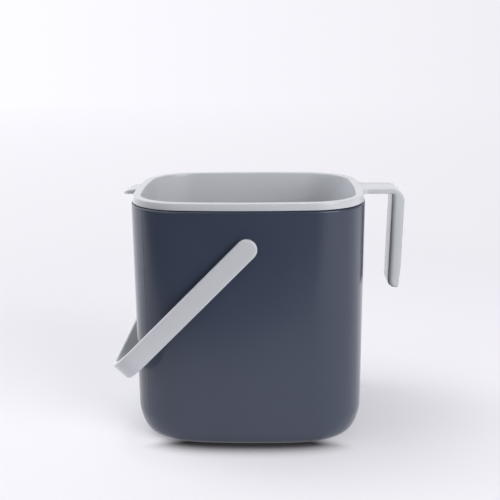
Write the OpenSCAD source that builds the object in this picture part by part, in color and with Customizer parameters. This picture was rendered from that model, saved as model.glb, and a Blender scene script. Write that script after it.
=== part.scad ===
// Compost caddy: an outer bin with a swinging strap bail, and a lift-out inner
// bucket whose overhanging rim carries a hook handle and a finger lip. The
// bucket and its rim are one moulding, kept as two solids that meet at a plane.
// Origin at the centre of the base, +X towards the hook handle, +Z up.

/* [Outer bin] */
// Width of the bin at its shoulder, side to side
bin_w = 200; // [185:1:220]
// Depth of the bin at its shoulder, front to back
bin_d = 174; // [160:1:190]
// Height of the shoulder that the bucket's rim sits over
bin_h = 204.4; // [190:0.1:230]
// Radius of the four upright corners at the shoulder
corner_r = 49; // [42:1:56]
// Radius of the gently bulged front and back
front_r = 577; // [450:1:900]
// Radius of the gently bulged sides
side_r = 541; // [450:1:900]
// Draft of the bin's walls, in degrees
bin_draft = 0.3; // [0.1:0.1:1]
// Thickness of the bin's wall
bin_wall = 2.4; // [1.8:0.1:3]
// Thickness of the bin's floor
bin_floor = 2.8; // [2:0.1:4]
// Radius of the rounding round the bin's base
base_r = 14; // [9:1:18]
// Inset of the foot ring's inner edge from the plan outline
foot_inset = 24; // [22:1:30]
// Height of the foot ring under the bin's floor
foot_h = 2; // [1:0.1:3]
// Height of the stepped neck inside the bucket's rim
neck_h = 3.3; // [2.8:0.1:6]
// Thickness of the neck
neck_wall = 1.9; // [1.6:0.1:2.6]

/* [Inner bucket] */
// Thickness of the bucket's wall
bucket_wall = 2; // [1.6:0.1:2.6]
// Thickness of the bucket's floor
bucket_floor = 2.2; // [1.6:0.1:3]
// Draft of the bucket's walls, in degrees
bucket_draft = 1.2; // [0.8:0.1:1.6]
// Radius of the rounding round the bucket's base
bucket_base_r = 17; // [12:1:22]
// Space between the bin's floor and the bucket's base
bucket_lift = 6; // [4.5:0.5:12]
// Thickness of the rim's top
rim_top_t = 2.4; // [2:0.1:3.5]
// Inset of the rim from the bin's outside
rim_inset = 1.3; // [0.8:0.1:2]
// Thickness of the skirt that hangs over the neck
skirt_t = 1.8; // [1.4:0.1:2.6]
// Space between the skirt and the neck
skirt_gap = 0.4; // [0.3:0.1:0.8]
// Space between the neck and the bucket's wall
neck_gap = 0.6; // [0.5:0.1:1.5]
// Open seam between the skirt's lower edge and the bin's shoulder
seam = 0.3; // [0.2:0.1:1.5]
// Space between the rim's underside and the neck's top at rest
seat_gap = 0.3; // [0.2:0.05:0.5]

/* [Hook handle] */
// Width of the handle, front to back
hook_w = 35.6; // [28:0.1:42]
// Thickness of the arm that reaches out from the rim
arm_t = 4.3; // [3.6:0.1:6]
// Clear space for the fingers between the bin and the grip
finger_gap = 24.3; // [20:0.1:32]
// Thickness of the grip
grip_t = 10.6; // [9:0.1:14]
// Length of the handle, from the rim's top to the grip's tip
grip_len = 87.8; // [70:0.1:100]
// How far the grip leans in towards the bin at its tip
grip_lean = 1.8; // [0:0.1:4]
// Radius of the handle's outer top corner
hook_r = 11; // [8:0.5:14]
// Radius of the grip's edges on the finger side
grip_edge_r = 4.5; // [2:0.1:5]
// Radius of the fillets where the arm leaves the rim
root_r = 5; // [3:0.5:10]

/* [Finger lip] */
// Radius of the lip's rounded outline
lip_r = 14; // [12:1:18]
// How far the lip reaches out from the rim
lip_reach = 12.7; // [9:0.1:13.5]
// How far the lip's tip droops below the rim's top
lip_droop = 4; // [3:0.1:5]
// Thickness of the lip where it leaves the rim
lip_root_t = 4; // [3:0.1:5]
// Thickness of the lip at its tip
lip_tip_t = 1.6; // [1:0.1:2.5]

/* [Bail] */
// Height of the bail's pivot above the table
pivot_z = 174; // [160:1:185]
// Width of the strap
strap_w = 17.4; // [14:0.1:20]
// Thickness of the strap
strap_t = 4.5; // [3:0.1:6]
// Clearance of the crossbar as it swings past the hook handle
bail_clear = 8.5; // [5:0.5:20]
// Outer radius of the bail's two bends
bend_r = 28; // [15:1:40]
// Space between the straps and the widest part of the bin
strap_gap = 1; // [0.6:0.1:2]
// Radius of the strap's long edges
strap_edge_r = 1.2; // [0.5:0.1:1.4]
// Space between the hanging crossbar and the bin's side
bail_rest = 0.7; // [0.4:0.1:2]

/* [Pivots] */
// Radius of the two holes in the bin's wall
pivot_r = 5; // [4:0.1:6]
// Radial play of the studs in their holes
pivot_play = 0.05; // [0.02:0.01:0.1]
// Radius of the flat spacer round each stud
spacer_r = 8; // [7:0.1:8.5]
// Play of each stud along its own axis
end_play = 0.3; // [0.2:0.05:0.4]
// Thickness of each stud's snap head
head_t = 2; // [1.5:0.1:2.2]
// How far the snap head stands out past the hole
head_lip = 1.2; // [0.6:0.1:1.6]
// Width of the slot that lets the head spring
head_slot = 1.4; // [1:0.1:2]

/* [Hidden] */
$fn = 96;
// Steps along half of a bulged side and along a corner
SIDE_STEPS = 3;
CORNER_STEPS = 11;
EDGE_R = 0.8;
INNER_FILLET = 3;
ROOT_LAP = 1.5;

// Plan outline: four bulged sides, each tangent to the corner arcs.
front_c = [0, bin_d / 2 - front_r];
side_c = [bin_w / 2 - side_r, 0];
corner_c = circles_meet(front_c, front_r - corner_r, side_c, side_r - corner_r);
front_a = atan2(corner_c.y - front_c.y, corner_c.x - front_c.x);
side_a = atan2(corner_c.y - side_c.y, corner_c.x - side_c.x);

// Heights and offsets that the bin and the bucket share
skirt_s = -rim_inset - skirt_t;
neck_s = skirt_s - skirt_gap;
neck_z = bin_h + neck_h;
rim_under_z = neck_z + seat_gap;
rim_top_z = rim_under_z + rim_top_t;
floor_z = foot_h + bin_floor;
bucket_z = floor_z + bucket_lift;
bucket_top_s = neck_s - neck_wall - neck_gap;
land_s = bucket_top_s - bucket_wall;
core_s = EDGE_R - corner_r;

// Hook handle
rim_x = bin_w / 2 - rim_inset;
grip_in_x = bin_w / 2 + finger_gap;
grip_out_x = grip_in_x + grip_t;
grip_tip_z = rim_top_z - grip_len;
arm_under_z = rim_top_z - arm_t;
grip_tilt = atan(grip_lean / grip_len);

// Bail
pivot_y = bin_d / 2 + bin_s(pivot_z);
strap_y = bin_d / 2 + strap_gap;
hook_tip_far = norm([grip_out_x - grip_lean, pivot_z - grip_tip_z]);
hook_top_far = norm([grip_out_x - hook_r, rim_top_z - hook_r - pivot_z]) + hook_r;
bail_reach = max(hook_tip_far, hook_top_far) + bail_clear + strap_t;
bail_angle = rest_angle(45);
stud_r = pivot_r - pivot_play;

// Crossing of two circles in the quarter where X and Y are positive.
function circles_meet(p, rp, q, rq) =
    let (d = norm(q - p))
    let (along = (d * d + rp * rp - rq * rq) / (2 * d))
    let (across = sqrt(rp * rp - along * along))
    let (u = (q - p) / d)
    p + u * along + [u.y, -u.x] * across;

// Points along an arc about c, from angle a to angle b.
function arc(c, r, a, b, n = 8) =
    [for (i = [0 : n]) c + r * [cos(a + (b - a) * i / n), sin(a + (b - a) * i / n)]];

// Offset of the bin's outside from the plan outline at height z.
function bin_s(z) = -(bin_h - z) * tan(bin_draft);

// Offset of the bucket's outside from the plan outline at height z.
function bucket_s(z) = bucket_top_s - (rim_under_z - z) * tan(bucket_draft);

// Angle below level at which the crossbar hangs just clear of the bin's side.
function rest_angle(a, n = 12) =
    let (z = pivot_z - bail_reach * sin(a))
    let (wall = bin_w / 2 + bin_s(z) + bail_rest)
    let (reach = (wall + strap_w / 2 * sin(a)) / (bail_reach - strap_t))
    n == 0 ? a : rest_angle(acos(reach), n - 1);

// All but the last of a list's items.
function lead(list) = [for (i = [0 : len(list) - 2]) list[i]];

// One quarter of the plan outline at offset s, from the X axis to the Y axis.
function plan_quarter(s) = concat(
    lead(arc(side_c, side_r + s, 0, side_a, SIDE_STEPS)),
    lead(arc(corner_c, corner_r + s, side_a, front_a, CORNER_STEPS)),
    lead(arc(front_c, front_r + s, front_a, 90, SIDE_STEPS)));

// The whole plan outline at offset s and height z, once round from the X axis.
function plan_ring(s, z) =
    let (q = plan_quarter(s))
    let (n = len(q))
    concat(
        [for (p = q) [p.x, p.y, z]],
        [[0, bin_d / 2 + s, z]],
        [for (i = [n - 1 : -1 : 1]) [-q[i].x, q[i].y, z]],
        [for (p = q) [-p.x, -p.y, z]],
        [[0, -bin_d / 2 - s, z]],
        [for (i = [n - 1 : -1 : 1]) [q[i].x, -q[i].y, z]]);

// Loft round the plan outline. The profile of [offset, height] runs out along
// the underside, up the outside, over the top and down the inside. A shell is
// closed by its floor's two faces, and a hoop joins its last point to its first.
module plan_loft(profile, hoop = false) {
    rings = [for (p = profile) plan_ring(p.x, p.y)];
    n = len(rings[0]);
    count = len(rings);
    walls = [for (k = [0 : count - (hoop ? 1 : 2)]) for (i = [0 : n - 1])
        let (j = (i + 1) % n)
        let (next = (k + 1) % count)
        [k * n + i, next * n + i, next * n + j, k * n + j]];
    under = [for (i = [0 : n - 1]) i];
    floor_face = [for (i = [n - 1 : -1 : 0]) (count - 1) * n + i];
    ends = hoop ? [] : [under, floor_face];
    polyhedron([for (r = rings) each r], concat(ends, walls), convexity = 6);
}

function bin_profile() =
    let (out_c = [bin_s(base_r) - base_r / cos(bin_draft), base_r])
    let (in_r = base_r - bin_wall)
    let (in_c = [out_c.x, floor_z + in_r])
    let (in_s = neck_s - neck_wall)
    let (step = bin_h - 2 * neck_h)
    concat(
        [[core_s, foot_h], [-foot_inset - foot_h, foot_h], [-foot_inset, 0]],
        arc(out_c, base_r, -90, -bin_draft, 6),
        arc([-EDGE_R, bin_h - EDGE_R], EDGE_R, 0, 90, 3),
        [[neck_s, bin_h], [neck_s, neck_z], [in_s, neck_z], [in_s, bin_h - neck_wall]],
        [[bin_s(step) - bin_wall, step]],
        arc(in_c, in_r, -bin_draft, -90, 5),
        [[core_s, floor_z]]);

function bucket_profile() =
    let (base_z = bucket_z + bucket_base_r)
    let (out_c = [bucket_s(base_z) - bucket_base_r / cos(bucket_draft), base_z])
    let (in_r = bucket_base_r - bucket_wall)
    let (in_c = [out_c.x, bucket_z + bucket_floor + in_r])
    concat(
        [[core_s, bucket_z]],
        arc(out_c, bucket_base_r, -90, -bucket_draft, 6),
        [[bucket_top_s, rim_under_z], [land_s, rim_under_z]],
        arc(in_c, in_r, -bucket_draft, -90, 5),
        [[core_s, bucket_z + bucket_floor]]);

function rim_profile() =
    let (skirt_z = bin_h + seam)
    concat(
        [[land_s, rim_under_z], [skirt_s, rim_under_z], [skirt_s, skirt_z], [-rim_inset, skirt_z]],
        arc([-rim_inset - EDGE_R, rim_top_z - EDGE_R], EDGE_R, 0, 90, 3),
        arc([land_s + EDGE_R, rim_top_z - EDGE_R], EDGE_R, 90, 180, 3));

module outer_bin() {
    color("#3f4757")
        difference() {
            plan_loft(bin_profile());
            pivot_holes();
        }
}

module pivot_holes() {
    for (side = [-1, 1])
        translate([0, side * pivot_y, pivot_z])
            rotate([90, 0, 0])
                cylinder(r = pivot_r, h = 4 * bin_wall, center = true);
}

module inner_bucket() {
    color("#d3d4d8")
        plan_loft(bucket_profile());
}

// Capping rim with its skirt, the hook handle and the finger lip.
module bucket_rim() {
    color("#d3d4d8") {
        plan_loft(rim_profile(), hoop = true);
        hook_arm();
        grip();
        finger_lip();
    }
}

// Draws a side view in X and Z, w wide about the middle plane.
module along_y(w) {
    translate([0, w / 2, 0])
        rotate([90, 0, 0])
            linear_extrude(w)
                children();
}

// Side view of the whole hook: arm, rounded corner and leaning grip.
module hook_side() {
    tip_in_x = grip_in_x - grip_lean;
    tip_out_x = grip_out_x - grip_lean;
    root_x = rim_x - skirt_t / 2;
    polygon(concat(
        [[root_x, arm_under_z], [root_x, rim_top_z]],
        arc([grip_out_x - hook_r, rim_top_z - hook_r], hook_r, 90, 0, 16),
        [[tip_out_x, grip_tip_z]],
        arc([tip_in_x + grip_edge_r, grip_tip_z + grip_edge_r], grip_edge_r, 270, 180),
        arc([grip_in_x - INNER_FILLET, arm_under_z - INNER_FILLET], INNER_FILLET, 0, 90, 4)));
}

// Arm, with concave fillets at its root, and the hook's rounded top corner.
module hook_arm() {
    intersection() {
        along_y(hook_w)
            hook_side();
        translate([0, -hook_w / 2, arm_under_z])
            cube([grip_out_x + hook_r, hook_w, 2 * arm_t]);
    }
    for (side = [0, 1])
        mirror([0, side, 0])
            translate([rim_x, hook_w / 2, arm_under_z])
                linear_extrude(arm_t)
                    difference() {
                        translate([-ROOT_LAP, -ROOT_LAP])
                            square([root_r + ROOT_LAP, root_r + ROOT_LAP]);
                        translate([root_r, root_r])
                            circle(root_r);
                    }
}

// Grip below the arm: rounded on the finger side and flat on the outside.
module grip() {
    r = grip_edge_r;
    long = grip_t + hook_r;
    intersection() {
        along_y(hook_w)
            hook_side();
        translate([grip_in_x, 0, arm_under_z])
            rotate([0, grip_tilt, 0])
                translate([0, 0, -grip_len])
                    linear_extrude(grip_len + arm_t / 2) {
                        translate([r, -hook_w / 2])
                            square([long, hook_w]);
                        translate([0, r - hook_w / 2])
                            square([2 * r, hook_w - 2 * r]);
                        for (side = [-1, 1])
                            translate([r, side * (hook_w / 2 - r)])
                                circle(r);
                    }
    }
}

// Round tab with a drooping top, thickest where it leaves the skirt.
module finger_lip() {
    root = [skirt_t / 2 - rim_x, rim_top_z];
    tip = [-rim_x - lip_reach, rim_top_z - lip_droop];
    run = root.x - tip.x;
    top_r = (run * run + lip_droop * lip_droop) / (2 * lip_droop);
    turn = asin(run / top_r);
    intersection() {
        translate([tip.x + lip_r, 0, rim_top_z - 2 * lip_r])
            cylinder(r = lip_r, h = 3 * lip_r);
        along_y(2 * lip_r)
            polygon(concat(
                arc([root.x, rim_top_z - top_r], top_r, 90, 90 + turn, 10),
                [[tip.x, tip.y - lip_tip_t], [root.x, root.y - lip_root_t]]));
    }
}

module bail_handle() {
    color("#c9cacd")
        translate([0, 0, pivot_z])
            rotate([0, 180 - bail_angle, 0])
                bail_flat();
}

// Strap cross-section: thickness along X from the inner face, width along Y.
module strap_section() {
    r = strap_edge_r;
    translate([0, r - strap_w / 2])
        square([strap_t, strap_w - 2 * r]);
    translate([r, -strap_w / 2])
        square([strap_t - 2 * r, strap_w]);
    for (x = [r, strap_t - r])
        for (y = [r - strap_w / 2, strap_w / 2 - r])
            translate([x, y])
                circle(r);
}

// The bail laid level, with its pivots on the Y axis and its crossbar at +X.
module bail_flat() {
    run = bail_reach - bend_r;
    bend_y = strap_y + strap_t - bend_r;
    for (side = [0, 1])
        mirror([0, side, 0]) {
            translate([0, strap_y, 0])
                rotate([90, 0, 90])
                    linear_extrude(run)
                        strap_section();
            translate([run, bend_y, 0])
                rotate_extrude(angle = 90)
                    translate([bend_r - strap_t, 0])
                        strap_section();
            translate([0, strap_y, 0])
                strap_end();
            pivot_stud();
        }
    translate([0, bend_y, 0])
        rotate([90, 0, 0])
            linear_extrude(2 * bend_y)
                translate([bail_reach - strap_t, 0])
                    strap_section();
}

// Round end of a strap, with the strap's own edge rounding.
module strap_end() {
    r = strap_edge_r;
    rotate([-90, 0, 0])
        rotate_extrude() {
            square([strap_w / 2 - r, strap_t]);
            translate([0, r])
                square([strap_w / 2, strap_t - 2 * r]);
            for (y = [r, strap_t - r])
                translate([strap_w / 2 - r, y])
                    circle(r);
        }
}

// Stud through the bin's wall, with a spacer outside and a split head inside.
module pivot_stud() {
    wall_in_y = pivot_y - bin_wall;
    head_y = wall_in_y - end_play;
    tip_y = head_y - head_t;
    slot_y = pivot_y - bin_wall / 2;
    difference() {
        union() {
            pin_y(stud_r, stud_r, head_y, strap_y + strap_t / 2);
            pin_y(spacer_r, spacer_r, pivot_y + end_play, strap_y + strap_t / 2);
            pin_y(stud_r - head_lip / 2, pivot_r + head_lip, tip_y, head_y);
        }
        translate([-pivot_r * 2, tip_y - head_t, -head_slot / 2])
            cube([pivot_r * 4, slot_y - tip_y + head_t, head_slot]);
    }
}

module pin_y(r_from, r_to, from_y, to_y) {
    translate([0, from_y, 0])
        rotate([-90, 0, 0])
            cylinder(r1 = r_from, r2 = r_to, h = to_y - from_y);
}

outer_bin();
inner_bucket();
bucket_rim();
bail_handle();
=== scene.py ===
import math

import bmesh
import bpy
from mathutils import Matrix, Vector
from mathutils.geometry import intersect_sphere_sphere_2d


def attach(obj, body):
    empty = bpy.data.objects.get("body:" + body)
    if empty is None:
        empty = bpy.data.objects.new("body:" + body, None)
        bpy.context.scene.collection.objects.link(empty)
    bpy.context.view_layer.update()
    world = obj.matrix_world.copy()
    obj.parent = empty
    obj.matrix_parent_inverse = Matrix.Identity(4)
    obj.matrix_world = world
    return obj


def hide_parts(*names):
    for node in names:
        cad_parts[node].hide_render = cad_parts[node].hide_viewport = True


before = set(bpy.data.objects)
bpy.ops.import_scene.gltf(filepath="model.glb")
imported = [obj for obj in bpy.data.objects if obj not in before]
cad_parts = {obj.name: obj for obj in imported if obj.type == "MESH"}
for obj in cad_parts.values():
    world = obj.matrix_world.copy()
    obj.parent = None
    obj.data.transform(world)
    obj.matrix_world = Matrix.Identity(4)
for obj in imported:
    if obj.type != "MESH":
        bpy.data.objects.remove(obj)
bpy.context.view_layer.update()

# --- Outer bin -------------------------------------------------------------
# The bin is injection-moulded polypropylene in slate blue, a drafted tub with
# rounded corners, a rounded base on a foot ring, and a stepped neck at its top
# that the bucket's rim hides. Two round holes take the bail's studs.

HALF_WIDTH = 0.100
HALF_DEPTH = 0.087
SIDE_RADIUS = 0.541
CORNER_RADIUS = 0.049
FRONT_RADIUS = 0.577

SHOULDER = 0.2037
SHOULDER_EDGE = 0.0009
BIN_SLOPE = math.tan(math.radians(0.3))
BIN_WALL = 0.0024
BIN_FLOOR = 0.0028
BASE_RADIUS = 0.0140
WALL_ROWS = (0.0300, 0.1100, SHOULDER - 0.0020)
INSIDE_HIGH = 0.1950
INSIDE_LOW = 0.0200
FLAT_INSET = 0.0480
FOOT_INSET = 0.0242
FOOT_HEIGHT = 0.0020
FOOT_EDGE = 0.0006
NECK_TOP = 0.2077
NECK_INSET = 0.0035
NECK_WALL = 0.0019
NECK_EDGE = 0.0004
STEP_TOP = 0.2025
STEP_FOOT = 0.1978
STEP_EDGE = 0.0003
PIVOT_HEIGHT = 0.174
PIVOT_HOLE = 0.005

# The base's corners are drawn in by up to TUCK. A point has no share of it before
# the first value of each pair, and its full share past the second: outwards in X
# and in Y, downwards in Z, and away from the corner's centre.
TUCK = 0.0040
TUCK_X = (0.035, 0.075)
TUCK_Y = (0.012, 0.042)
TUCK_Z = (0.025, 0.002)
TUCK_OUT = (0.005, 0.035)
TUCK_LEAST = 0.55
TUCK_RINGS = (0.0155, 0.0175, 0.0200, 0.0225, 0.0250)

SEGMENTS_PER_METRE = 1200
CREASE = math.radians(35)

side_centre = Vector((HALF_WIDTH - SIDE_RADIUS, 0))
front_centre = Vector((0, HALF_DEPTH - FRONT_RADIUS))
corner_centre = max(intersect_sphere_sphere_2d(side_centre, SIDE_RADIUS - CORNER_RADIUS,
                                               front_centre, FRONT_RADIUS - CORNER_RADIUS),
                    key=lambda point: point.x)


def everything(mesh):
    return mesh.verts[:] + mesh.edges[:] + mesh.faces[:]


def close_holes(mesh):
    bmesh.ops.holes_fill(mesh, edges=[e for e in mesh.edges if e.is_boundary], sides=0)


def round_off(mesh, geom, radius, segments, affect="VERTICES"):
    """Rounds the given corners, or with affect EDGES the given edges, by a radius."""
    bmesh.ops.bevel(mesh, geom=geom, offset=radius, offset_type="OFFSET", affect=affect,
                    segments=segments, profile=0.5, material=-1)


def add_profile(mesh, corners):
    """Adds a chain of edges in the XZ plane. Each corner is (x, z, radius), rounded by its radius."""
    chain = [mesh.verts.new((x, 0, z)) for x, z, radius in corners]
    for one, two in zip(chain, chain[1:]):
        mesh.edges.new((one, two))
    for vertex, (x, z, radius) in zip(chain, corners):
        if radius:
            round_off(mesh, [vertex], radius, max(4, round(radius * SEGMENTS_PER_METRE)))


def sweep_round_outline(mesh):
    """Sweeps a profile round a quarter of the bulging outline, mirrors it and closes its floor."""
    side_turn = math.atan2(*(corner_centre - side_centre).yx)
    front_turn = math.atan2(*(corner_centre - front_centre).xy)
    corner_turn = math.pi / 2 - side_turn - front_turn
    ends = everything(mesh)
    for centre, angle, steps in ((side_centre, side_turn, 6), (corner_centre, corner_turn, 28),
                                 (front_centre, front_turn, 8)):
        ends = bmesh.ops.spin(mesh, geom=ends, cent=centre.to_3d(), axis=(0, 0, 1), angle=angle,
                              steps=steps)["geom_last"]
    for axis in ("X", "Y"):
        bmesh.ops.mirror(mesh, geom=everything(mesh), axis=axis, merge_dist=1e-5)
    close_holes(mesh)


def ramp(value, start, end):
    """Says how far a value has come from start to end, held between 0 and 1."""
    return min(1, max(0, (value - start) / (end - start)))


def ease(share):
    """Softens the start and the end of a share between 0 and 1."""
    return share * share * (3 - 2 * share)


def tuck_base_corners(mesh):
    """Draws in the four corners of a base, so that they round off higher up than its sides do."""
    for height in TUCK_RINGS:
        bmesh.ops.bisect_plane(mesh, geom=everything(mesh), dist=1e-6, plane_co=(0, 0, height),
                               plane_no=(0, 0, 1))
    for vertex in mesh.verts:
        x, y, z = vertex.co
        out = Vector((max(abs(x) - corner_centre.x, 0), max(abs(y) - corner_centre.y, 0)))
        share = ease(ramp(abs(x), *TUCK_X)) * ease(ramp(abs(y), *TUCK_Y)) * ease(ramp(z, *TUCK_Z))
        share *= ramp(out.length, *TUCK_OUT) * (TUCK_LEAST + (1 - TUCK_LEAST) * ease(ramp(z, 0, BASE_RADIUS)))
        if share:
            inward = out.normalized() * TUCK * share
            vertex.co -= Vector((math.copysign(inward.x, x), math.copysign(inward.y, y), 0))


def finish_mesh(mesh, name, material=None):
    """Turns a bmesh into an object whose faces are smooth up to the crease angle."""
    bmesh.ops.recalc_face_normals(mesh, faces=mesh.faces[:])
    data = bpy.data.meshes.new(name)
    mesh.to_mesh(data)
    mesh.free()
    data.shade_smooth()
    data.set_sharp_from_angle(angle=CREASE)
    if material:
        data.materials.append(material)
    piece = bpy.data.objects.new(name, data)
    bpy.context.scene.collection.objects.link(piece)
    return piece


def colour(code):
    """Linear colour of an sRGB hex code."""
    parts = [int(code[i:i + 2], 16) / 255 for i in (1, 3, 5)]
    return [p / 12.92 if p <= 0.04045 else ((p + 0.055) / 1.055) ** 2.4 for p in parts] + [1]


def start_nodes(owner):
    """Gives a material or a world an empty node tree."""
    owner.use_nodes = True
    owner.node_tree.nodes.clear()
    return owner


def add_node(owner, kind, links=None, **settings):
    """Adds a shader node, with its inputs linked or set and its own settings."""
    node = owner.node_tree.nodes.new(kind)
    for name, value in settings.items():
        setattr(node, name, value)
    for socket, value in (links or {}).items():
        if isinstance(value, bpy.types.NodeSocket):
            owner.node_tree.links.new(value, node.inputs[socket])
        else:
            node.inputs[socket].default_value = value
    return node


# Polypropylene moulded against a fine spark-eroded tool: satin, with a broad
# highlight, a soft grain and faint flow clouding in its colour and gloss. The
# real grain is too fine to show, so it is drawn about 0.7 mm wide.
GRAINS_PER_METRE = 1400
GRAIN_DEPTH = 0.0001


def moulded_polypropylene(name, darker, lighter, clouds_per_metre, grain_strength):
    """Makes the satin plastic, clouded between two colours."""
    material = start_nodes(bpy.data.materials.new(name))
    place = add_node(material, "ShaderNodeTexCoord").outputs["Object"]
    grain = add_node(material, "ShaderNodeTexNoise", {
        "Vector": place, "Scale": GRAINS_PER_METRE, "Detail": 3, "Roughness": 0.6})
    cloud = add_node(material, "ShaderNodeTexNoise", {
        "Vector": place, "Scale": clouds_per_metre, "Detail": 3, "Roughness": 0.5})
    tint = add_node(material, "ShaderNodeValToRGB", {"Fac": cloud.outputs["Fac"]})
    for element, position, code in zip(tint.color_ramp.elements, (0.3, 0.7), (darker, lighter)):
        element.position = position
        element.color = colour(code)
    gloss = add_node(material, "ShaderNodeMapRange", {
        "Value": cloud.outputs["Fac"], "To Min": 0.22, "To Max": 0.27})
    bump = add_node(material, "ShaderNodeBump", {
        "Height": grain.outputs["Fac"], "Strength": grain_strength, "Distance": GRAIN_DEPTH})
    surface = add_node(material, "ShaderNodeBsdfPrincipled", {
        "Base Color": tint.outputs["Color"], "Roughness": gloss.outputs["Result"], "IOR": 1.49,
        "Normal": bump.outputs["Normal"]})
    add_node(material, "ShaderNodeOutputMaterial", {"Surface": surface.outputs["BSDF"]})
    return material


# The tool's two halves meet in a fine darker witness line, down two opposite
# corners from the shoulder to the round of the base. A slanting plane draws it,
# shifted a little one way on the left half and the other way on the right.
WITNESS_TURN = math.radians(48)
WITNESS_SHIFT = 0.00675
WITNESS_CORE = 0.0002
WITNESS_FADE = 0.0006
WITNESS_END = 0.022
WITNESS_FULL = 0.030
WITNESS_RIDGE = 0.0002
slate_plastic = moulded_polypropylene("slate_polypropylene", "#383f4f", "#3a4152", 14, 0.12)
surface = slate_plastic.node_tree.nodes["Principled BSDF"]
place = add_node(slate_plastic, "ShaderNodeTexCoord").outputs["Object"]
across = add_node(slate_plastic, "ShaderNodeVectorMath", {
    0: place, 1: (math.cos(WITNESS_TURN), -math.sin(WITNESS_TURN), 0)}, operation="DOT_PRODUCT")
sides = add_node(slate_plastic, "ShaderNodeSeparateXYZ", {0: place})
half = add_node(slate_plastic, "ShaderNodeMath", {0: sides.outputs["X"]}, operation="SIGN")
aside = add_node(slate_plastic, "ShaderNodeMath", {
    0: half.outputs["Value"], 1: -WITNESS_SHIFT, 2: across.outputs["Value"]}, operation="MULTIPLY_ADD")
apart = add_node(slate_plastic, "ShaderNodeMath", {0: aside.outputs["Value"]}, operation="ABSOLUTE")
line = add_node(slate_plastic, "ShaderNodeMapRange", {
    "Value": apart.outputs["Value"], "From Min": WITNESS_CORE, "From Max": WITNESS_FADE,
    "To Min": 1.0, "To Max": 0.0}, interpolation_type="SMOOTHSTEP")
above = add_node(slate_plastic, "ShaderNodeMapRange", {
    "Value": sides.outputs["Z"], "From Min": WITNESS_END, "From Max": WITNESS_FULL})
witness = add_node(slate_plastic, "ShaderNodeMath", {
    0: line.outputs["Result"], 1: above.outputs["Result"]}, operation="MULTIPLY")
shade = add_node(slate_plastic, "ShaderNodeMix", {
    0: witness.outputs["Value"], 6: surface.inputs["Base Color"].links[0].from_socket,
    7: colour("#252b39")}, data_type="RGBA")
ridge = add_node(slate_plastic, "ShaderNodeBump", {
    "Height": witness.outputs["Value"], "Strength": 0.5, "Distance": WITNESS_RIDGE,
    "Normal": surface.inputs["Normal"].links[0].from_socket})
slate_plastic.node_tree.links.new(shade.outputs[2], surface.inputs["Base Color"])
slate_plastic.node_tree.links.new(ridge.outputs["Normal"], surface.inputs["Normal"])

mesh = bmesh.new()
foot_drop = SHOULDER * BIN_SLOPE
neck_outside = HALF_WIDTH - NECK_INSET
wall_inside = HALF_WIDTH - BIN_WALL
floor_top = FOOT_HEIGHT + BIN_FLOOR
add_profile(mesh, [
    (HALF_WIDTH - FLAT_INSET, FOOT_HEIGHT, 0),
    (HALF_WIDTH - FOOT_INSET - FOOT_HEIGHT, FOOT_HEIGHT, FOOT_EDGE),
    (HALF_WIDTH - FOOT_INSET, 0, FOOT_EDGE),
    (HALF_WIDTH - foot_drop, 0, BASE_RADIUS),
    *[(HALF_WIDTH - (SHOULDER - z) * BIN_SLOPE, z, 0) for z in WALL_ROWS],
    (HALF_WIDTH, SHOULDER, SHOULDER_EDGE),
    (neck_outside, SHOULDER, STEP_EDGE),
    (neck_outside, NECK_TOP, NECK_EDGE),
    (neck_outside - NECK_WALL, NECK_TOP, NECK_EDGE),
    (neck_outside - NECK_WALL, STEP_TOP, STEP_EDGE),
    (wall_inside, STEP_FOOT, STEP_EDGE),
    (wall_inside, INSIDE_HIGH, 0),
    (wall_inside - foot_drop, INSIDE_LOW, 0),
    (wall_inside - foot_drop, floor_top, BASE_RADIUS - BIN_WALL),
    (HALF_WIDTH - FLAT_INSET, floor_top, 0),
])
sweep_round_outline(mesh)
tuck_base_corners(mesh)
outer_bin = finish_mesh(mesh, "bin_shell", slate_plastic)

mesh = bmesh.new()
for side in (-1, 1):
    bmesh.ops.create_cone(mesh, cap_ends=True, segments=64, radius1=PIVOT_HOLE, radius2=PIVOT_HOLE,
                          depth=4 * BIN_WALL, matrix=Matrix.Translation((0, side * HALF_DEPTH, PIVOT_HEIGHT))
                          @ Matrix.Rotation(math.pi / 2, 4, "X"))
drill = finish_mesh(mesh, "drill")
bore = outer_bin.modifiers.new("pivot_holes", "BOOLEAN")
bore.object = drill
bored = bpy.data.meshes.new_from_object(outer_bin.evaluated_get(bpy.context.evaluated_depsgraph_get()))
outer_bin.modifiers.clear()
outer_bin.data = bored
bored.set_sharp_from_angle(angle=CREASE)
bpy.data.objects.remove(drill)
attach(outer_bin, "bin")
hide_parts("outer_bin")

# --- Inner bucket ----------------------------------------------------------
# The bucket is moulded in light-grey polypropylene. Its walls hang inside the
# bin from a capping rim, set in a little from the bin's outside, whose skirt
# covers the bin's neck and stops just short of the shoulder.

RIM_TOP = 0.2104
RIM_UNDER = 0.2080
RIM_INSET = 0.0013
RIM_EDGE = 0.0008
RIM_DEPTH = 0.0030
RIM_LEAN = 0.0001
SKIRT_LOW = 0.2045
SKIRT_WALL = 0.0018
SKIRT_EDGE = 0.0002
BUCKET_INSET = 0.0060
BUCKET_WALL = 0.0020
BUCKET_FLOOR = 0.0022
BUCKET_BASE = 0.0108
BUCKET_RADIUS = 0.0170
BUCKET_SLOPE = math.tan(math.radians(1.2))
WALL_START = 0.0200

# The rim's land lies a hair under the top of the handle that grows from it, so
# that no two faces share a plane. It is flat between these two insets.
HAIR = 0.00003
LAND = RIM_TOP - HAIR
LAND_OUTER = 0.0030
LAND_INNER = 0.0015

# The same satin plastic as the bin's, with a softer grain, in light grey.
grey_plastic = moulded_polypropylene("light_grey_polypropylene", "#bfc1c6", "#c2c4c9", 16, 0.10)

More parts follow.
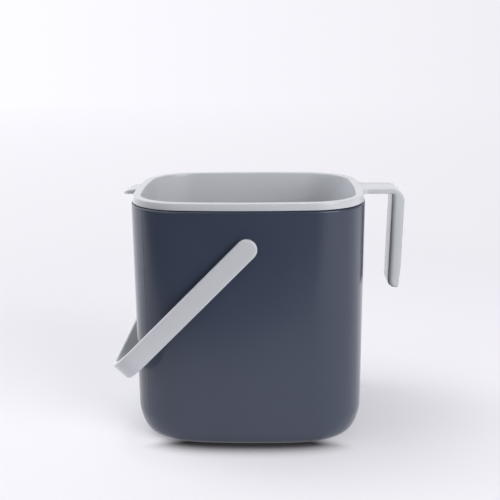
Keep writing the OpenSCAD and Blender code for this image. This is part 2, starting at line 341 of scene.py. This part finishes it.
mesh = bmesh.new()
wall_outside = HALF_WIDTH - BUCKET_INSET
wall_inside = wall_outside - BUCKET_WALL
skirt_outside = HALF_WIDTH - RIM_INSET
base_drop = (RIM_UNDER - BUCKET_BASE) * BUCKET_SLOPE
start_drop = base_drop - WALL_START * BUCKET_SLOPE
add_profile(mesh, [
    (HALF_WIDTH - FLAT_INSET, BUCKET_BASE, 0),
    (wall_outside - base_drop, BUCKET_BASE, BUCKET_RADIUS),
    (wall_outside - start_drop, BUCKET_BASE + WALL_START, 0),
    (wall_outside, RIM_UNDER, 0),
    (skirt_outside - SKIRT_WALL, RIM_UNDER, SKIRT_EDGE),
    (skirt_outside - SKIRT_WALL, SKIRT_LOW, SKIRT_EDGE),
    (skirt_outside, SKIRT_LOW, SKIRT_EDGE / 2),
    (skirt_outside, LAND, RIM_EDGE),
    (skirt_outside - LAND_OUTER, LAND, 0),
    (wall_inside + LAND_INNER, LAND, 0),
    (wall_inside, LAND, RIM_EDGE),
    (wall_inside - RIM_LEAN, RIM_TOP - RIM_DEPTH, 0),
    (wall_inside - start_drop, BUCKET_BASE + WALL_START + BUCKET_WALL, 0),
    (wall_inside - base_drop, BUCKET_BASE + BUCKET_FLOOR, BUCKET_RADIUS - BUCKET_WALL),
    (HALF_WIDTH - FLAT_INSET, BUCKET_BASE + BUCKET_FLOOR, 0),
])
sweep_round_outline(mesh)
bucket = finish_mesh(mesh, "bucket_shell", grey_plastic)
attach(bucket, "bucket")
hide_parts("inner_bucket", "bucket_rim")

# --- Hook handle -----------------------------------------------------------
# The handle leaves the rim flush with its top, with a fillet on each side, and
# turns down to a grip for the fingers. It belongs to the bucket's moulding:
# flat outside, and rounded on the finger side and under the arm.

HOOK_HALF_WIDTH = 0.0178
ARM_UNDER = 0.2061
ROOT_FILLET = 0.005
HOOK_CORNER = 0.011
GRIP_INNER = 0.1243
GRIP_OUTER = 0.1349
GRIP_LEAN = 0.0018
GRIP_TIP = 0.1226
INNER_FILLET = 0.003
FINGER_EDGE = 0.0045
ARM_EDGE = 0.0010
OUTER_EDGE = 0.0007
CURL_START = 0.7
GRIP_CURL = 0.0008
TIP_CURL_START = 0.0009
TIP_CURL_END = 0.0016
TIP_EDGE = 0.0006
TIP_INSET = 0.0005
TIP_FLAT = 0.0056
TIP_LIFT = 0.0001
TIP_NARROWING = 0.0002


def add_section(mesh, inner, outer, half_width, inner_edge):
    """Adds a section of the hook: a rectangle from inner to outer, both (x, z), with rounded corners."""
    x0, z0 = inner
    x1, z1 = outer
    corners = [mesh.verts.new(place) for place in (
        (x0, -half_width, z0), (x0, half_width, z0), (x1, half_width, z1), (x1, -half_width, z1))]
    edges = [mesh.edges.new((corners[i], corners[(i + 1) % 4])) for i in range(4)]
    known = set(mesh.edges) - set(edges)
    round_off(mesh, corners[:2], inner_edge, 8)
    round_off(mesh, corners[2:], OUTER_EDGE, 3)
    return [e for e in mesh.edges if e not in known]


# The root starts inside the rim, where its top keeps under the rim's round edge.
sections = []
for inset, drop in ((0.0014, 0.0010), (0.0009, 0.0001), (0.0004, 0)):
    x = skirt_outside - inset
    sections.append(((x, ARM_UNDER), (x, RIM_TOP - drop), HOOK_HALF_WIDTH + ROOT_FILLET, ARM_EDGE))
fillet_steps = 10
for step in range(1, fillet_steps + 1):
    angle = math.pi / 2 * step / fillet_steps
    x = skirt_outside + ROOT_FILLET * (1 - math.cos(angle))
    half_width = HOOK_HALF_WIDTH + ROOT_FILLET * (1 - math.sin(angle))
    sections.append(((x, ARM_UNDER), (x, RIM_TOP), half_width, ARM_EDGE))

# The corner, in whose first half the arm's under edges grow to the grip's rounder
# ones.
corner_steps = 16
for step in range(corner_steps + 1):
    share = step / corner_steps
    ahead = 1 - math.sin(math.pi / 2 * share)
    down = 1 - math.cos(math.pi / 2 * share)
    inner = (GRIP_INNER - INNER_FILLET * ahead, ARM_UNDER - INNER_FILLET * down)
    outer = (GRIP_OUTER - HOOK_CORNER * ahead, RIM_TOP - HOOK_CORNER * down)
    edge = ARM_EDGE + (FINGER_EDGE - ARM_EDGE) * min(1, 2 * share)
    sections.append((inner, outer, HOOK_HALF_WIDTH, edge))

# The grip leans in as it goes down, and its outside curls in towards the tip.
inner_top = ARM_UNDER - INNER_FILLET
outer_top = RIM_TOP - HOOK_CORNER
grip_low = GRIP_TIP + FINGER_EDGE
grip_shares = (0.1, 0.5, 0.75, 0.85, 0.95)
for share in grip_shares:
    curl = GRIP_CURL * ramp(share, CURL_START, grip_shares[-1]) ** 2
    inner = (GRIP_INNER - GRIP_LEAN * share, inner_top - (inner_top - grip_low) * share)
    outer = (GRIP_OUTER - GRIP_LEAN * share - curl, outer_top - (outer_top - grip_low) * share)
    sections.append((inner, outer, HOOK_HALF_WIDTH, FINGER_EDGE))
tip_steps = 8
for step in range(tip_steps + 1):
    share = step / tip_steps
    angle = math.pi / 2 * share
    curl = TIP_CURL_START + (TIP_CURL_END - TIP_CURL_START) * share ** 1.5
    inner = (GRIP_INNER - GRIP_LEAN + FINGER_EDGE * (1 - math.cos(angle)),
             GRIP_TIP + FINGER_EDGE * (1 - math.sin(angle)))
    outer = (GRIP_OUTER - GRIP_LEAN - curl, GRIP_TIP + TIP_EDGE + (FINGER_EDGE - TIP_EDGE) * (1 - share))
    sections.append((inner, outer, HOOK_HALF_WIDTH, FINGER_EDGE))
flat_end = GRIP_OUTER - GRIP_LEAN - TIP_CURL_END - TIP_INSET
sections.append(((flat_end - TIP_FLAT, GRIP_TIP), (flat_end, GRIP_TIP + TIP_LIFT),
                 HOOK_HALF_WIDTH - TIP_NARROWING, FINGER_EDGE))

mesh = bmesh.new()
loops = [add_section(mesh, *section) for section in sections]
for one, two in zip(loops, loops[1:]):
    bmesh.ops.bridge_loops(mesh, edges=one + two)
close_holes(mesh)
hook = finish_mesh(mesh, "hook_handle", grey_plastic)
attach(hook, "bucket")

# --- Finger lip ------------------------------------------------------------
# Opposite the hook, a round tab droops from the rim and thins to its tip, so
# that two fingers can lift that side. It is part of the same moulding.

LIP_RADIUS = 0.014
LIP_SINK = 0.0009
LIP_REACH = 0.0127
LIP_ROOT = LIP_SINK - skirt_outside
LIP_TIP = -LIP_REACH - skirt_outside
LIP_TOP = LAND - HAIR
LIP_DROOP = 0.0040
LIP_ROOT_THICK = 0.0040
LIP_TIP_THICK = 0.0016
LIP_EDGE = 0.0009
LIP_ROWS = 15
ROW_STEP = 0.0009
SHARP = 1.2


def sharp_edges(mesh):
    """Finds the edges where two faces meet at a steep angle."""
    return [e for e in mesh.edges if e.calc_face_angle(0) > SHARP]


def points_of(geom):
    return [v for v in geom if isinstance(v, bmesh.types.BMVert)]


def edges_of(geom):
    return [e for e in geom if isinstance(e, bmesh.types.BMEdge)]


mesh = bmesh.new()
bmesh.ops.create_circle(mesh, cap_ends=True, radius=LIP_RADIUS, segments=96,
                        matrix=Matrix.Translation((LIP_TIP + LIP_RADIUS, 0, LIP_TOP)))
# The first cut takes off what would lie inside the rim, and the others are rows
# of points for the droop.
for row in range(LIP_ROWS):
    bmesh.ops.bisect_plane(mesh, geom=everything(mesh), dist=1e-7, plane_co=(LIP_ROOT - row * ROW_STEP, 0, 0),
                           plane_no=(1, 0, 0), clear_outer=row == 0)
lower = bmesh.ops.extrude_face_region(mesh, geom=mesh.faces[:])["geom"]
bmesh.ops.translate(mesh, verts=points_of(lower), vec=(0, 0, -LIP_ROOT_THICK))
bmesh.ops.recalc_face_normals(mesh, faces=mesh.faces[:])
free_edges = [e for e in sharp_edges(mesh) if min(v.co.x for v in e.verts) < LIP_ROOT - 1e-6]
round_off(mesh, free_edges, LIP_EDGE, 4, affect="EDGES")

# The tab's top bends down on an arc, and its underside runs straight to the tip.
lip_run = LIP_ROOT - LIP_TIP
lip_bend = (lip_run ** 2 + LIP_DROOP ** 2) / (2 * LIP_DROOP)
for vertex in mesh.verts:
    reach = LIP_ROOT - vertex.co.x
    depth = (LIP_TOP - vertex.co.z) / LIP_ROOT_THICK
    upper = LIP_TOP - lip_bend + math.sqrt(lip_bend ** 2 - reach ** 2)
    lower = LIP_TOP - LIP_ROOT_THICK - (LIP_DROOP + LIP_TIP_THICK - LIP_ROOT_THICK) * reach / lip_run
    vertex.co.z = upper + (lower - upper) * depth
lip = finish_mesh(mesh, "finger_lip", grey_plastic)
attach(lip, "bucket")

# --- Bail handle -----------------------------------------------------------
# The bail is a springy polypropylene strap with round ends. A spacer and a
# split stud are moulded inside each end, and each stud snaps through a hole in
# the bin's wall, where the strap turns.

STRAP_HALF_WIDTH = 0.0087
STRAP_THICK = 0.0045
STRAP_EDGE = 0.0018
STRAP_INNER = HALF_DEPTH + 0.0010
STRAP_OUTER = STRAP_INNER + STRAP_THICK
BAIL_REACH = 0.15568
BEND_RADIUS = 0.028
BAIL_SLOPE = math.radians(45.398)
BAIL_TURN = math.pi - BAIL_SLOPE
WALL_OUTSIDE = HALF_DEPTH - (SHOULDER - PIVOT_HEIGHT) * BIN_SLOPE
WALL_GAP = 0.0003
STUD_RADIUS = 0.00495
SPACER_RADIUS = 0.008
SPACER_SINK = 0.0005
HEAD_RADIUS = 0.0062
HEAD_THICK = 0.0020
HEAD_START = WALL_OUTSIDE - BIN_WALL - WALL_GAP
HEAD_TIP = HEAD_START - HEAD_THICK
HEAD_TIP_RADIUS = 0.00435
HEAD_RIM = 0.0001
SLOT_END = WALL_OUTSIDE - BIN_WALL / 2
SLOT_SINK = 0.0001
HALF_SLOT = 0.0007

# The bail is moulded from the same light-grey plastic as the bucket.
strap_plastic = grey_plastic.copy()
strap_plastic.name = "strap_polypropylene"


def extend(mesh, edges, move, steps):
    """Extrudes edges by a move, in equal steps. Returns the last of the new edges."""
    for step in range(steps):
        grown = bmesh.ops.extrude_edge_only(mesh, edges=edges)["geom"]
        bmesh.ops.translate(mesh, verts=points_of(grown), vec=Vector(move) / steps)
        edges = edges_of(grown)
    return edges


def turn_to_rest(mesh):
    """Turns a mesh from the level bail to the hanging one and lifts it to the pivots."""
    bmesh.ops.rotate(mesh, verts=mesh.verts[:], cent=(0, 0, 0), matrix=Matrix.Rotation(BAIL_TURN, 3, "Y"))
    bmesh.ops.translate(mesh, verts=mesh.verts[:], vec=(0, 0, PIVOT_HEIGHT))


# Half the strap's outer face: its round end, the arm, the bend and half the bar.
mesh = bmesh.new()
low = mesh.verts.new((0, STRAP_OUTER, -STRAP_HALF_WIDTH))
high = mesh.verts.new((0, STRAP_OUTER, STRAP_HALF_WIDTH))
mesh.edges.new((low, high))
bmesh.ops.spin(mesh, geom=[high], cent=(0, STRAP_OUTER, 0), axis=(0, 1, 0), angle=-math.pi, steps=32)
bmesh.ops.remove_doubles(mesh, verts=mesh.verts[:], dist=1e-7)
bmesh.ops.contextual_create(mesh, geom=mesh.edges[:])
end = [e for e in mesh.edges if abs(e.verts[0].co.x) + abs(e.verts[1].co.x) < 1e-7]
run = BAIL_REACH - BEND_RADIUS
end = extend(mesh, end, (run, 0, 0), 8)
bend = bmesh.ops.spin(mesh, geom=end, cent=(run, STRAP_OUTER - BEND_RADIUS, 0), axis=(0, 0, 1),
                      angle=-math.pi / 2, steps=24)
extend(mesh, edges_of(bend["geom_last"]), (0, BEND_RADIUS - STRAP_OUTER, 0), 4)
bmesh.ops.mirror(mesh, geom=everything(mesh), axis="Y", merge_dist=1e-6)

# The faces have to point out of the bail, because its thickness grows inwards.
bmesh.ops.recalc_face_normals(mesh, faces=mesh.faces[:])
if max(mesh.faces, key=lambda f: f.calc_center_median().x).normal.x < 0:
    bmesh.ops.reverse_faces(mesh, faces=mesh.faces[:])
bmesh.ops.solidify(mesh, geom=mesh.faces[:], thickness=STRAP_THICK)
bmesh.ops.recalc_face_normals(mesh, faces=mesh.faces[:])
round_off(mesh, sharp_edges(mesh), STRAP_EDGE, 6, affect="EDGES")
turn_to_rest(mesh)
bail = finish_mesh(mesh, "bail_strap", strap_plastic)
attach(bail, "bail")
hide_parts("bail_handle")


def spin_stud(mesh, corners):
    """Turns a chain of (radius, y) points into a closed round solid about the Y axis."""
    chain = [mesh.verts.new((radius, y, 0)) for radius, y in corners]
    edges = [mesh.edges.new(pair) for pair in zip(chain, chain[1:])]
    bmesh.ops.spin(mesh, geom=chain + edges, cent=(0, 0, 0), axis=(0, 1, 0), angle=2 * math.pi, steps=48,
                   use_merge=True)
    bmesh.ops.remove_doubles(mesh, verts=mesh.verts[:], dist=1e-7)


# The stud's slot is what lies between its upper half and the mirrored one.
mesh = bmesh.new()
spin_stud(mesh, [
    (0, HEAD_TIP), (HEAD_TIP_RADIUS, HEAD_TIP), (HEAD_RADIUS, HEAD_START - HEAD_RIM),
    (HEAD_RADIUS, HEAD_START), (STUD_RADIUS, HEAD_START), (STUD_RADIUS, SLOT_END + SLOT_SINK),
    (0, SLOT_END + SLOT_SINK)])
bmesh.ops.bisect_plane(mesh, geom=everything(mesh), dist=1e-7, plane_co=(0, 0, HALF_SLOT), plane_no=(0, 0, 1),
                       clear_inner=True)
close_holes(mesh)
bmesh.ops.mirror(mesh, geom=everything(mesh), axis="Z", merge_dist=0)
spin_stud(mesh, [
    (0, SLOT_END), (STUD_RADIUS, SLOT_END), (STUD_RADIUS, WALL_OUTSIDE + WALL_GAP),
    (SPACER_RADIUS, WALL_OUTSIDE + WALL_GAP), (SPACER_RADIUS, STRAP_INNER + SPACER_SINK),
    (0, STRAP_INNER + SPACER_SINK)])
bmesh.ops.mirror(mesh, geom=everything(mesh), axis="Y", merge_dist=0)
turn_to_rest(mesh)
studs = finish_mesh(mesh, "pivot_studs", strap_plastic)
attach(studs, "bail")

# --- Studio ----------------------------------------------------------------
# A pale table fades into its backdrop, with a painted shadow where the base rests on it.
# Soft boxes stand above, at the left and at the right front, and bright walls
# behind and at the left. The camera looks down over the rim.

FLOOR_RADIUS = 4
CONTACT_REACH = 0.029
MILDER = 0.36
# The table's dark colour is painted shade.
TABLE_COLOUR = colour("#f3f2f7")
PAINTED_SHADE_COLOUR = colour("#202024")
BACKDROP_COLOUR = colour("#f3f2f8")
DAYLIGHT_COLOUR = colour("#fcfcff")

# Only the camera sees the whole table. For light it bounces and mirrors, its front is painted dark, a painted
# shade, so the object mirrors it behind and beside itself alone and the bin's front stays dark.
floor_material = start_nodes(bpy.data.materials.new("studio_floor"))
light_path = add_node(floor_material, "ShaderNodeLightPath")
place = add_node(floor_material, "ShaderNodeTexCoord").outputs["Object"]
where = add_node(floor_material, "ShaderNodeSeparateXYZ", {0: place})
right = add_node(floor_material, "ShaderNodeMath", {0: where.outputs["X"], 1: 0.0}, operation="MAXIMUM")
slant = add_node(floor_material, "ShaderNodeVectorMath", {
    0: place, 1: (0.3, 1.0, 0)}, operation="DOT_PRODUCT")
depth = add_node(floor_material, "ShaderNodeMath", {
    0: right.outputs["Value"], 1: 0.5, 2: slant.outputs["Value"]}, operation="MULTIPLY_ADD")
table = add_node(floor_material, "ShaderNodeMapRange", {
    "Value": depth.outputs["Value"], "From Min": -0.45, "From Max": -0.25}, interpolation_type="SMOOTHSTEP")
pale = add_node(floor_material, "ShaderNodeMath", {
    0: table.outputs["Result"], 1: light_path.outputs["Is Camera Ray"]}, operation="MAXIMUM")

# The contact shadow is painted shade: ambient occlusion darkens the table's colour and glow under the base's
# front edge, inside an ellipse, and round its back. What mirrors it sees it milder.
open_sky = add_node(floor_material, "ShaderNodeAmbientOcclusion", {"Distance": CONTACT_REACH}, samples=8)
contact = add_node(floor_material, "ShaderNodeMapRange", {
    "Value": open_sky.outputs["AO"], "From Min": 0.36, "From Max": 0.9, "To Min": 0.04, "To Max": 1.0},
    interpolation_type="SMOOTHSTEP")
ahead = add_node(floor_material, "ShaderNodeVectorMath", {
    0: place, 1: (1.2, 2.0, 0), 2: (0, 0.21, 0)}, operation="MULTIPLY_ADD")
aside = add_node(floor_material, "ShaderNodeVectorMath", {0: ahead.outputs["Vector"]}, operation="LENGTH")
clear = add_node(floor_material, "ShaderNodeMapRange", {
    "Value": aside.outputs["Value"], "From Min": 0.086, "From Max": 0.122}, interpolation_type="SMOOTHSTEP")
beside = add_node(floor_material, "ShaderNodeMapRange", {
    "Value": where.outputs["Y"], "From Min": 0.045, "From Max": 0.075, "To Min": 1.0, "To Max": 0.0},
    interpolation_type="SMOOTHSTEP")
open_side = add_node(floor_material, "ShaderNodeMath", {
    0: clear.outputs["Result"], 1: beside.outputs["Result"]}, operation="MULTIPLY")
underside = add_node(floor_material, "ShaderNodeMath", {
    0: contact.outputs["Result"], 1: open_side.outputs["Value"]}, operation="MAXIMUM")
bounced = add_node(floor_material, "ShaderNodeMath", {
    0: light_path.outputs["Is Camera Ray"], 1: -MILDER, 2: MILDER}, operation="MULTIPLY_ADD")
shade = add_node(floor_material, "ShaderNodeMath", {
    0: underside.outputs["Value"], 1: bounced.outputs["Value"]}, operation="ADD", use_clamp=True)
lit = add_node(floor_material, "ShaderNodeMath", {
    0: pale.outputs["Value"], 1: shade.outputs["Value"]}, operation="MULTIPLY")
# Painted shade: the table's colour turns dark under the painted contact shadow, and in front for all but the
# camera.
top = add_node(floor_material, "ShaderNodeMix", {
    0: lit.outputs["Value"], 6: PAINTED_SHADE_COLOUR, 7: TABLE_COLOUR}, data_type="RGBA")

# The table's glow hides its edge. It grows with distance for the camera, and towards the back for what
# mirrors it: there the glow is painted light, shining like a lamp to give the bin's edges their sheen.
distance = add_node(floor_material, "ShaderNodeVectorMath", {0: place}, operation="LENGTH")
fade = add_node(floor_material, "ShaderNodeMapRange", {
    "Value": distance.outputs["Value"], "From Min": 0.2, "From Max": 0.9, "To Min": 0.36, "To Max": 1.0},
    interpolation_type="SMOOTHSTEP")
looked = add_node(floor_material, "ShaderNodeMath", {
    0: fade.outputs["Result"], 1: light_path.outputs["Is Camera Ray"]}, operation="MULTIPLY")
glowing = add_node(floor_material, "ShaderNodeMath", {
    0: table.outputs["Result"], 1: light_path.outputs["Is Glossy Ray"], 2: looked.outputs["Value"]},
    operation="MULTIPLY_ADD")
seen = add_node(floor_material, "ShaderNodeMath", {
    0: glowing.outputs["Value"], 1: shade.outputs["Value"]}, operation="MULTIPLY")
sweep = add_node(floor_material, "ShaderNodeMapRange", {
    "Value": where.outputs["Y"], "From Min": -0.1, "From Max": 0.3, "To Min": 0.92, "To Max": 1.5},
    interpolation_type="SMOOTHSTEP")
slope = add_node(floor_material, "ShaderNodeVectorMath", {
    0: place, 1: (-0.05, 0.02, 0)}, operation="DOT_PRODUCT")
plain = add_node(floor_material, "ShaderNodeMath", {0: slope.outputs["Value"], 1: 0.96}, operation="ADD")
strength = add_node(floor_material, "ShaderNodeMix", {
    0: light_path.outputs["Is Glossy Ray"], 2: plain.outputs["Value"], 3: sweep.outputs["Result"]})
diffuse = add_node(floor_material, "ShaderNodeBsdfDiffuse", {"Color": top.outputs[2]})
glow = add_node(floor_material, "ShaderNodeEmission", {
    "Color": BACKDROP_COLOUR, "Strength": strength.outputs[0]})
mix = add_node(floor_material, "ShaderNodeMixShader", {
    0: seen.outputs["Value"], 1: diffuse.outputs["BSDF"], 2: glow.outputs["Emission"]})
add_node(floor_material, "ShaderNodeOutputMaterial", {"Surface": mix.outputs["Shader"]})

mesh = bmesh.new()
bmesh.ops.create_circle(mesh, cap_ends=True, radius=FLOOR_RADIUS, segments=96)
floor = finish_mesh(mesh, "floor", floor_material)

# The bright walls, each along an axis, from where it starts to where it is full.
world = start_nodes(bpy.data.worlds.new("studio"))
bpy.context.scene.world = world
light_path = add_node(world, "ShaderNodeLightPath")
direction = add_node(world, "ShaderNodeTexCoord").outputs["Generated"]
toward = add_node(world, "ShaderNodeSeparateXYZ", {0: direction})
level = 0
for axis, start, full, strength in (("Y", 0.35, 0.8, 1.0), ("X", -0.2, -0.8, 1.3), ("Z", 0.1, 0.9, 0.2)):
    wall = add_node(world, "ShaderNodeMapRange", {
        "Value": toward.outputs[axis], "From Min": start, "From Max": full, "To Min": 0.0,
        "To Max": strength}, interpolation_type="SMOOTHSTEP")
    total = add_node(world, "ShaderNodeMath", {0: wall.outputs["Result"], 1: level}, operation="ADD")
    level = total.outputs["Value"]
ambient = add_node(world, "ShaderNodeBackground", {"Color": DAYLIGHT_COLOUR, "Strength": level})
bright = add_node(world, "ShaderNodeMapRange", {
    "Value": toward.outputs["X"], "From Min": -0.27, "From Max": 0.27, "To Min": 1.1, "To Max": 0.97})
shown = add_node(world, "ShaderNodeBackground", {
    "Color": BACKDROP_COLOUR, "Strength": bright.outputs["Result"]})
mix = add_node(world, "ShaderNodeMixShader", {
    0: light_path.outputs["Is Camera Ray"], 1: ambient.outputs["Background"], 2: shown.outputs["Background"]})
add_node(world, "ShaderNodeOutputWorld", {"Surface": mix.outputs["Shader"]})


def add_soft_box(name, position, target, size, power):
    """Adds a square area light that faces a target. The size is in metres and the power in watts."""
    data = bpy.data.lights.new(name, "AREA")
    data.size = size
    data.energy = power
    lamp = bpy.data.objects.new(name, data)
    lamp.location = position
    lamp.rotation_euler = (Vector(target) - Vector(position)).to_track_quat("-Z", "Y").to_euler()
    bpy.context.scene.collection.objects.link(lamp)


add_soft_box("overhead_soft_box", (-0.35, 0.05, 1.2), (0, 0, 0), 0.5, 3.3)
add_soft_box("left_soft_box", (-0.9, 0.35, 1.0), (0, 0, 0.05), 0.55, 2.4)
add_soft_box("right_soft_box", (1.15, -1.1, 0.75), (0, 0, 0.12), 1.1, 23.8)

CAMERA_PLACE = (0.0229, -0.7864, 0.3421)
CAMERA_TURN = 0.02877
CAMERA_DIP = 0.23685
CAMERA_ROLL = -0.00787
camera_data = bpy.data.cameras.new("camera")
camera_data.sensor_width = 36
camera_data.lens = 64.8
camera = bpy.data.objects.new("camera", camera_data)
camera.matrix_world = (Matrix.Translation(CAMERA_PLACE) @ Matrix.Rotation(CAMERA_TURN, 4, "Z")
                       @ Matrix.Rotation(math.pi / 2 - CAMERA_DIP, 4, "X")
                       @ Matrix.Rotation(CAMERA_ROLL, 4, "Z"))
bpy.context.scene.collection.objects.link(camera)
bpy.context.scene.camera = camera
bpy.context.scene.view_settings.view_transform = "Standard"
